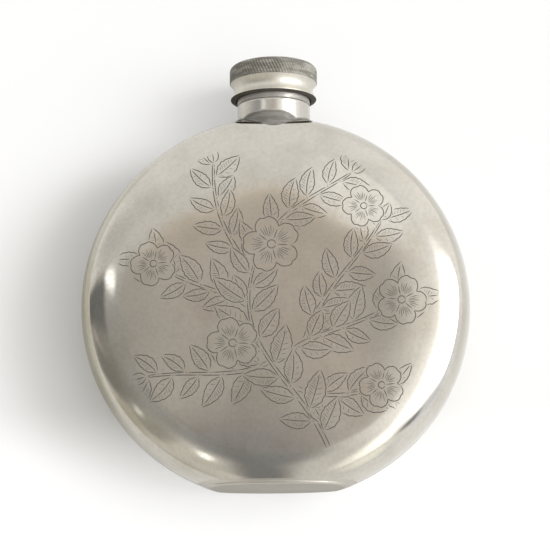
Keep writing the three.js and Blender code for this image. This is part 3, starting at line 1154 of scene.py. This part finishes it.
@dataclass
class Body:
    """The two pressed shells and the plate that the flask stands on."""

    radius: float
    plate_top: float
    centre: Vector
    neck_hole: float
    outline: Outline
    wall: float = 1.4 * MM
    seam_round: float = 0.12 * MM
    plate_edge: float = 0.5 * MM
    rim_size: float = 0.75 * MM
    rim_stand: float = 0.1 * MM
    rim_taper: float = 0.8
    joint_line: float = 0.14 * MM
    hole_inset: float = 2.7 * MM
    on_surface: float = 0.012 * MM
    along_surface: float = 0.985
    face_wear: float = 0.45
    spin_steps: int = 240

    @classmethod
    def from_frame(cls) -> "Body":
        """Takes the sizes that the frame gives."""
        low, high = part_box("front_shell")
        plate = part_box("base_plate")[1]
        radius = (high.x - low.x) / 2
        centre = Vector((0, 0, plate.z + math.sqrt(radius ** 2 - plate.x ** 2)))
        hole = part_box("neck_collar")[1].x - cls.hole_inset
        return cls(radius, plate.z, centre, hole, Outline(radius))

    def dish(self, side: int) -> bmesh.types.BMesh:
        """Spins one shell.

        Args:
            side: -1 for the front, 1 for the back.

        Returns:
            The full dish, before its cuts.
        """
        outer = self.outline.points(0.0, (0.35, 1.5, 3.0, 2.5))[:-1]
        inner = self.outline.points(self.wall, (1.8, 5.0, 9.0, 10.0))
        inside_rim = (self.radius - self.seam_round, 0.0)
        rim = bend((self.radius, self.seam_round), (self.radius, 0.0), inside_rim, 3)
        flat = [*outer, *rim, *reversed(inner)]
        profile = [Vector((r, side * depth, self.centre.z)) for r, depth in flat]
        profile[0].x = profile[-1].x = 0.0
        return turned(profile, SpinAxis.DISC, self.centre, self.spin_steps)

    def shell(self, side: int) -> bpy.types.Mesh:
        """Cuts one shell for the plate and for the neck."""
        shape = self.dish(side)
        cut_away(shape, self.plate_top, above=False)
        drill = bmesh.new()
        lift = Matrix.Translation(self.centre + Vector((0, 0, self.radius)))
        bmesh.ops.create_cone(drill, cap_ends=True, segments=96, radius1=self.neck_hole,
                              radius2=self.neck_hole, depth=self.radius, matrix=lift)
        return combined(mesh_of(shape, "shell"), mesh_of(drill, "drill"), Joining.CUT)

    def true_normal(self, point: Vector, face: Vector) -> Vector | None:
        """Gives the smooth outside's normal at a point on it, or None elsewhere."""
        offset = point - self.centre
        r = math.hypot(offset.x, offset.z)
        out, ahead = self.outline.normal(r)
        off_surface = abs(abs(offset.y) - self.outline.depth(r)) * ahead
        if r > self.radius - self.seam_round or off_surface > self.on_surface:
            return None
        share = out / max(r, MERGE_WITHIN)
        true = Vector((offset.x * share, math.copysign(ahead, offset.y), offset.z * share))
        return true if true.dot(face) > self.along_surface else None

    def tarnish(self, point: Vector, face: Vector) -> float:
        """Darkens what is not on the smooth outside, and the seam."""
        offset = point - self.centre
        r = math.hypot(offset.x, offset.z)
        if r > self.radius - 2 * self.seam_round:
            return 1.0 - eased(abs(offset.y), 0.0, 2 * self.seam_round)
        return 0.0 if self.true_normal(point, face) else 1.0

    def build(self) -> None:
        """Makes the shells and the plate."""
        front = Dressing("engraved_front", "flask", "front_shell", Finish.POLISHED)
        engraved = combined(self.shell(-1), Engraving().cutter(self), Joining.CUT)
        front.apply(engraved, self.tarnish, self.true_normal)
        back = Dressing("plain_back", "flask", "back_shell", Finish.POLISHED)
        back.apply(self.shell(1), self.tarnish, self.true_normal)
        plate = Dressing("standing_plate", "flask", "base_plate", Finish.WORN_BASE)
        plate.apply(self.plate(), self.plate_wear)

    def plate_wear(self, point: Vector, _: Vector) -> float:
        """Dulls the face that the flask stands on and leaves its rounded edge bright."""
        return self.face_wear * (1 - eased(point.z, 0.02 * MM, 0.25 * self.rim_size))

    def plate(self) -> bpy.types.Mesh:
        """Cuts the plate out of the body's form and rounds its lower edge."""
        outer = self.outline.points(0.0, (0.8, 1.5, 3.0, 2.5))
        flat = [*outer, *[(r, -depth) for r, depth in reversed(outer[:-1])]]
        profile = [Vector((r, depth, self.centre.z)) for r, depth in flat]
        profile[0].x = profile[-1].x = 0.0
        shape = turned(profile, SpinAxis.DISC, self.centre, self.spin_steps)
        cut_away(shape, self.plate_top, above=True)
        cut_away(shape, 0.0, above=False)
        for height, size in ((0.0, self.plate_edge), (self.plate_top, self.joint_line)):
            rim = [edge for edge in shape.edges
                   if all(abs(vert.co.z - height) < MERGE_WITHIN for vert in edge.verts)]
            bmesh.ops.bevel(shape, geom=rim, offset=size, offset_type="OFFSET", affect="EDGES", segments=6,
                            profile=0.5, material=-1, clamp_overlap=True)
        return combined(mesh_of(shape, "plate"), self.plate_rim(), Joining.JOIN)

    def plate_rim(self) -> bpy.types.Mesh:
        """Sweeps the rounded rim that stands out a little round the plate.

        Returns:
            The rim as a closed ring.
        """
        height = self.rim_size + 0.02 * MM
        drop = self.centre.z - height
        wide = math.sqrt(self.radius ** 2 - drop ** 2)
        curve = bpy.data.curves.new("rim", "CURVE")
        curve.dimensions, curve.twist_mode = "3D", "Z_UP"
        curve.bevel_depth, curve.bevel_resolution = self.rim_size, 5
        spline = curve.splines.new("POLY")
        spline.points.add(self.spin_steps - 1)
        spline.use_cyclic_u = True
        for i, knot in enumerate(spline.points):
            angle = TURN * (i + 0.5) / self.spin_steps
            share = math.cos(angle)
            size = 1 - 0.9 * eased(abs(share), self.rim_taper, 1.0)
            inset = (self.rim_size - self.rim_stand) * size
            depth = self.outline.depth(math.hypot(wide * share, drop)) - inset
            knot.co = ((wide - inset) * share, math.copysign(max(0.0, depth), math.sin(angle)), height, 1.0)
            knot.radius = size
        ring = new_object("rim", curve)
        graph = bpy.context.evaluated_depsgraph_get()
        made = bpy.data.meshes.new_from_object(ring.evaluated_get(graph))
        bpy.data.objects.remove(ring)
        bpy.data.curves.remove(curve)
        return made


@dataclass
class Neck:
    """The saddle collar and the spout that stands in it."""

    body: Body
    collar_top: float
    collar_radius: float
    foot_radius: float
    tube_bottom: float
    spout_top: float
    tube_bore: float = 7.5 * MM
    tube_wall: float = 1.3 * MM
    tube_gap: float = 0.2 * MM
    solder: float = 0.05 * MM
    foot_front: float = 0.15 * MM
    foot_edge: float = 0.15 * MM
    toe_round: float = 0.1 * MM
    foot_rise: float = 1.3 * MM
    dark_arch_half: Point = (8.8 * MM, 4.7 * MM)
    dark_arch_middle: float = -1.5 * MM
    joint_lift: float = 0.3 * MM
    edge: float = 0.3 * MM
    flange: float = 1.95 * MM
    flange_dull: float = 0.5
    root_radius: float = 9.0 * MM
    crest_radius: float = 9.55 * MM
    lip: float = 0.5 * MM
    pitch: float = 2.5 * MM
    thread_turns: float = 1.6
    thread_start: float = 0.8 * MM
    spin_steps: int = 144

    @classmethod
    def from_frame(cls, body: Body) -> "Neck":
        """Takes the sizes that the frame gives."""
        collar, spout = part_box("neck_collar")[1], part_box("spout")
        return cls(body, collar.z + cls.joint_lift, spout[1].x, collar.x, spout[0].z, spout[1].z)

    def seat(self, x: float, y: float) -> float:
        """Gives the height of the shoulder under a point of the plan."""
        reach = self.body.outline.half_height(y)
        return self.body.centre.z + math.sqrt(reach ** 2 - x ** 2)

    def foot_at(self, point: Vector) -> float:
        """Gives how far the foot flares towards a point: wide along the body, little in front and behind."""
        share = (point.x ** 2 / max(point.xy.length_squared, MERGE_WITHIN ** 2)) ** 2
        return share * (self.foot_radius - self.collar_radius) + (1 - share) * self.foot_front

    def collar(self) -> bpy.types.Mesh:
        """Spins the collar, draws its foot to an oval and bends it to the saddle.

        Returns:
            The collar, level above and seated on the shoulder below.
        """
        bore = self.tube_bore + self.tube_wall + self.tube_gap
        rise = self.collar_top - self.body.centre.z - self.body.radius
        wall_top = rise - self.edge
        flare = bend((self.foot_radius, self.foot_edge), (self.collar_radius, self.foot_edge),
                     (self.collar_radius, self.foot_rise), 10)
        wall = wall_top - self.foot_rise
        walls = [(self.collar_radius, self.foot_rise + wall * i / 14) for i in range(1, 14)]
        top_edge = bend((self.collar_radius, wall_top), (self.collar_radius, rise),
                        (self.collar_radius - self.edge, rise), 4)
        toe = [(self.foot_radius - self.toe_round, 0.0), (self.foot_radius, self.toe_round)]
        section = [*toe, *flare, *walls, *top_edge, (bore, rise), (bore, 0.0)]
        profile = [Vector((r, 0, z)) for r, z in section]
        shape = turned(profile, SpinAxis.NECK, Vector(), self.spin_steps, closed=True)
        for vert in shape.verts:
            flared = (vert.co.xy.length - self.collar_radius) / (self.foot_radius - self.collar_radius)
            if flared > 0:
                vert.co.xy *= (self.collar_radius + flared * self.foot_at(vert.co)) / vert.co.xy.length
            foot = vert.co.xy.normalized() * (self.collar_radius + self.foot_at(vert.co))
            on_bore = vert.co.xy.length < self.collar_radius - 2 * self.edge
            seat = self.seat(*(vert.co.xy if on_bore else foot)) + self.solder
            stretch = (self.collar_top - self.edge - seat - self.foot_rise) / (wall_top - self.foot_rise)
            if vert.co.z > wall_top - MERGE_WITHIN:
                vert.co.z += self.collar_top - rise
            elif vert.co.z > self.foot_rise:
                vert.co.z = seat + self.foot_rise + (vert.co.z - self.foot_rise) * stretch
            else:
                vert.co.z += seat
        return mesh_of(shape, "collar")

    def ridge(self, root: float, crest: float, start: float, turns: float) -> bpy.types.Mesh:
        """Winds one screw ridge with run-out ends.

        Args:
            root: The radius that the ridge grows from.
            crest: The radius of its flat top.
            start: The height of its first end.
            turns: How far it winds.

        Returns:
            The ridge as a closed solid, a little sunk into what carries it.
        """
        sink = math.copysign(0.25 * MM, root - crest)
        foot, top = 0.62 * MM, 0.24 * MM
        section = [(root + sink, -foot), (crest, -top), (crest, top), (root + sink, foot)]
        steps = round(72 * turns)
        shape = bmesh.new()
        verts = [shape.verts.new((r, 0, start + z)) for r, z in section]
        edges = [shape.edges.new(pair) for pair in zip(verts, verts[1:] + verts[:1])]
        bmesh.ops.spin(shape, geom=[*verts, *edges], cent=(0, 0, 0), axis=SpinAxis.NECK.value,
                       dvec=(0, 0, self.pitch * turns / steps), angle=TURN * turns, steps=steps)
        rim = [edge for edge in shape.edges if edge.is_boundary]
        bmesh.ops.holes_fill(shape, edges=rim, sides=0)
        bmesh.ops.recalc_face_normals(shape, faces=shape.faces)
        for vert in shape.verts:
            level = (vert.co.z - start) / self.pitch
            angle = math.atan2(vert.co.y, vert.co.x) / TURN
            wound = angle + round(level - angle)
            runs = eased(min(wound, turns - wound), -0.02, 0.22)
            stand = vert.co.xy.length
            kept = root + sink + (stand - root - sink) * runs
            vert.co.xy *= kept / stand
        return mesh_of(shape, "ridge")

    def spout(self) -> bpy.types.Mesh:
        """Spins the spout and winds its thread."""
        tube, flange_top = self.tube_bore + self.tube_wall, self.collar_top + self.flange
        outer = [
            (self.tube_bore, self.tube_bottom), (tube, self.tube_bottom), (tube, self.collar_top),
            *bend((self.collar_radius - self.edge, self.collar_top), (self.collar_radius, self.collar_top),
                  (self.collar_radius, self.collar_top + self.edge), 4),
            *bend((self.collar_radius, flange_top - self.edge), (self.collar_radius, flange_top),
                  (self.collar_radius - self.edge, flange_top), 4),
            (self.root_radius, flange_top),
        ]
        rim = [
            *bend((self.root_radius, self.spout_top - self.lip), (self.root_radius, self.spout_top),
                  (self.root_radius - self.lip, self.spout_top), 5),
            *bend((self.tube_bore + self.lip, self.spout_top), (self.tube_bore, self.spout_top),
                  (self.tube_bore, self.spout_top - self.lip), 5),
        ]
        profile = [Vector((r, 0, z)) for r, z in [*outer, *rim]]
        core = turned(profile, SpinAxis.NECK, Vector(), self.spin_steps, closed=True)
        start = flange_top + self.thread_start
        ridge = self.ridge(self.root_radius, self.crest_radius, start, self.thread_turns)
        return combined(mesh_of(core, "spout"), ridge, Joining.JOIN)

    def collar_tarnish_and_shade(self, point: Vector, _: Vector) -> float:
        """Darkens the solder line at the foot and paints shade on the band just above it, darkens an arch low
        on the collar, and darkens the joint under the flange.
        """
        above = point.z - self.seat(point.x, point.y)
        # Dark solder line at the foot, widened into painted shade where the collar meets the shoulder.
        foot = 1 - eased(above, 0.15 * MM, 1.1 * MM)
        # A dark arch low on the collar's front and back.
        across = abs(point.x - self.dark_arch_middle) / self.dark_arch_half[0]
        upwards = max(0.0, point.z - self.seat(0.0, self.collar_radius)) / self.dark_arch_half[1]
        dark_arch = 1 - eased((across ** 3 + upwards ** 3) ** (1 / 3), 0.88, 1.04)
        joint = eased(point.z, self.collar_top - 0.25 * MM, self.collar_top)
        return max(0.8 * foot, 0.85 * dark_arch, 0.8 * joint)

    def spout_tarnish(self, point: Vector, _: Vector) -> float:
        """Darkens the joint on the collar and the thread's root."""
        stand = point.xy.length
        joint = 1 - eased(point.z, self.collar_top, self.collar_top + 0.3 * MM)
        above = point.z > self.collar_top + self.flange
        root = 1 - eased(stand, self.root_radius, self.crest_radius) if above else 0.0
        return max(0.8 * joint, 0.5 * root, 0.0 if above else self.flange_dull)

    def build(self) -> None:
        """Makes the collar and the spout."""
        collar = Dressing("saddle_collar", "flask", "neck_collar", Finish.TURNED)
        collar.apply(self.collar(), self.collar_tarnish_and_shade)
        spout = Dressing("screw_spout", "flask", "spout", Finish.TURNED)
        spout.apply(self.spout(), self.spout_tarnish)


@dataclass
class Cap:
    """The milled screw cap and the seal inside it."""

    neck: Neck
    foot: float
    rim_radius: float
    seal_low: Vector
    seal_high: Vector
    bore: float = 9.9 * MM
    mouth: float = 10.8 * MM
    waist: float = 11.3 * MM
    lip_radius: float = 12.35 * MM
    lip_height: float = 0.6 * MM
    lip_lift: float = 0.55 * MM
    lip_edge: float = 0.2 * MM
    lip_round: float = 0.07 * MM
    lip_land: float = 0.2 * MM
    seal_gap: float = 0.25 * MM
    crown: float = 1.55 * MM
    dome: float = 0.45 * MM
    rim_height: float = 5.0 * MM
    rim_round: float = 1.9 * MM
    flutes: int = 90
    flute_depth: float = 0.16 * MM
    flute_slant: float = 24.0
    columns_per_flute: int = 6
    run_in: float = 0.2 * MM
    ridge_turns: float = 1.25

    @classmethod
    def from_frame(cls, neck: Neck) -> "Cap":
        """Takes the sizes that the frame gives."""
        low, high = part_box("cap_shell")
        return cls(neck, low.z + cls.lip_lift, high.x, *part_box("cap_seal"))

    @property
    def ceiling(self) -> float:
        """The height of the flat inside, above the seal."""
        return self.seal_high.z + self.seal_gap

    @property
    def rim_top(self) -> float:
        """The height where the rounded rim meets the top."""
        return self.ceiling + self.crown

    @property
    def rim_foot(self) -> float:
        """The height where the milled rim starts."""
        return self.rim_top - self.rim_height

    def outline(self) -> list[Point]:
        """Lists the section from the middle of the inside, round the lip, to the middle of the top."""
        flange_top = self.neck.collar_top + self.neck.flange
        edge = self.foot + self.lip_height
        waist_height = (edge + self.rim_foot) / 2
        inner = [(0.0, self.ceiling), (self.bore, self.ceiling),
                 (self.bore, flange_top + self.mouth - self.bore), (self.mouth, flange_top),
                 (self.mouth, self.foot)]
        below = edge - self.lip_edge
        lip = [(self.mouth + self.lip_land, self.foot),
               *bend((self.lip_radius - 2 * self.lip_round, below - 0.8 * self.lip_round),
                     (self.lip_radius, below), (self.lip_radius, below + self.lip_round), 4)]
        bead = bend((self.lip_radius, edge - self.lip_round), (self.lip_radius, edge),
                    (self.lip_radius - self.lip_round, edge + self.lip_round), 4)
        hollow = bend(bead[-1], (self.waist, (edge + waist_height) / 2), (self.waist, waist_height), 14)
        swell = bend((self.waist, waist_height), (self.waist, (waist_height + self.rim_foot) / 2),
                     (self.rim_radius - 0.1 * MM, self.rim_foot), 10)
        rim_side = [(self.rim_radius, self.rim_foot + self.rim_height * share)
                    for share in (0.03, 0.12, 0.3, 0.45)]
        shoulder = bend((self.rim_radius, self.rim_top - self.rim_round), (self.rim_radius, self.rim_top),
                        (self.rim_radius - self.rim_round, self.rim_top), 14)
        inner_rim = self.rim_radius - self.rim_round
        top = bend((inner_rim, self.rim_top), (inner_rim / 2, self.rim_top + self.dome),
                   (0.0, self.rim_top + self.dome), 14)
        return [*inner, *lip, *bead, *hollow[1:], *swell[1:], *rim_side, *shoulder, *top[1:]]

    def flute(self, angle: float, stand: float, height: float) -> float:
        """Gives how deep the milling cuts at a point of the unturned rim, from 0 to 1."""
        if height < self.rim_foot - self.run_in or stand < self.rim_radius - self.rim_round:
            return 0.0
        phase = (angle / TURN * self.flutes) % 1.0
        groove = 1 - abs(2 * phase - 1)
        inner = eased(stand, self.rim_radius - self.rim_round, self.rim_radius - 0.55 * self.rim_round)
        return groove * inner * eased(height, self.rim_foot - self.run_in, self.rim_foot + 0.15 * MM)

    def shell(self) -> bpy.types.Mesh:
        """Spins the cap, mills its rim and winds its inner thread."""
        profile = [Vector((r, 0, z)) for r, z in self.outline()]
        shape = turned(profile, SpinAxis.NECK, Vector(), self.flutes * self.columns_per_flute)
        lean = math.tan(math.radians(self.flute_slant)) / self.rim_radius
        for vert in shape.verts:
            stand = vert.co.xy.length
            if stand < self.waist or vert.co.z < self.rim_foot - self.run_in:
                continue
            angle = math.atan2(vert.co.y, vert.co.x)
            cut = self.flute(angle, stand, vert.co.z) * self.flute_depth
            vert.co.xy *= (stand - cut) / stand
            twist = -lean * (vert.co.z - self.rim_foot)
            vert.co = Matrix.Rotation(twist, 3, "Z") @ vert.co
        flange_top = self.neck.collar_top + self.neck.flange
        start = flange_top + self.neck.thread_start + 0.5 * self.neck.pitch
        ridge = self.neck.ridge(self.bore, self.bore - 0.55 * MM, start, self.ridge_turns)
        return combined(mesh_of(shape, "cap"), ridge, Joining.JOIN)

    def tarnish(self, point: Vector, _: Vector) -> float:
        """Darkens the milled rim and most of all its flutes, paints shade on the lip's underside, and darkens
        the inside.
        """
        stand = point.xy.length
        if point.z < self.rim_foot - self.run_in:
            # Painted shade: the lip's underside is darkened past full tarnish, for the shade under the lip.
            under = point.z < self.foot + self.lip_height - self.lip_edge + 0.01 * MM
            inside = stand < self.bore + 0.1 * MM
            return 0.55 if inside else 1.25 * under
        ridge = self.rim_outline(point.z)
        dull = 0.62 * eased(stand, self.rim_radius - self.rim_round, self.rim_radius - 0.7 * self.rim_round)
        return dull + 0.12 * eased(ridge - stand, 0.02 * MM, self.flute_depth)

    def rim_outline(self, height: float) -> float:
        """Gives the radius of the rim's ridges at a height."""
        drop = min(1.0, max(0.0, (self.rim_top - height) / self.rim_round))
        t = 1 - math.sqrt(drop)
        return self.rim_radius - self.rim_round * t ** 2

    def seal(self) -> bpy.types.Mesh:
        """Spins the seal, with rounded edges and the ring that the spout's lip has pressed into it."""
        low, high, radius = self.seal_low.z, self.seal_high.z, self.seal_high.x
        edge = 0.4 * MM
        press = self.neck.tube_bore + 0.65 * MM
        below = [(0.0, low), (press - 0.8 * MM, low), (press - 0.5 * MM, low + 0.12 * MM),
                 (press + 0.5 * MM, low + 0.12 * MM), (press + 0.8 * MM, low)]
        rim = [*bend((radius - edge, low), (radius, low), (radius, low + edge), 5),
               *bend((radius, high - edge), (radius, high), (radius - edge, high), 5)]
        profile = [Vector((r, 0, z)) for r, z in [*below, *rim, (0.0, high)]]
        return mesh_of(turned(profile, SpinAxis.NECK, Vector(), 96), "seal")

    def build(self) -> None:
        """Makes the cap and its seal."""
        cap = Dressing("milled_cap", "cap", "cap_shell", Finish.CAP, crease=40.0)
        cap.apply(self.shell(), self.tarnish)
        seal = Dressing("cap_washer", "seal", "cap_seal", Finish.RUBBER)
        seal.apply(self.seal())


def main() -> None:
    """Builds the stage and the flask in order."""
    logging.basicConfig(level=logging.INFO, format="%(name)s: %(message)s")
    bpy.context.scene.view_settings.view_transform = "Standard"
    body = Body.from_frame()
    neck = Neck.from_frame(body)
    cap = Cap.from_frame(neck)
    Camera(body.centre).build()
    Room().build()
    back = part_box("back_shell")[1].y
    Stage(behind=back + 0.05 * MM, below=-0.05 * MM).build()
    body.build()
    neck.build()
    cap.build()


if __name__ == "__main__":
    main()
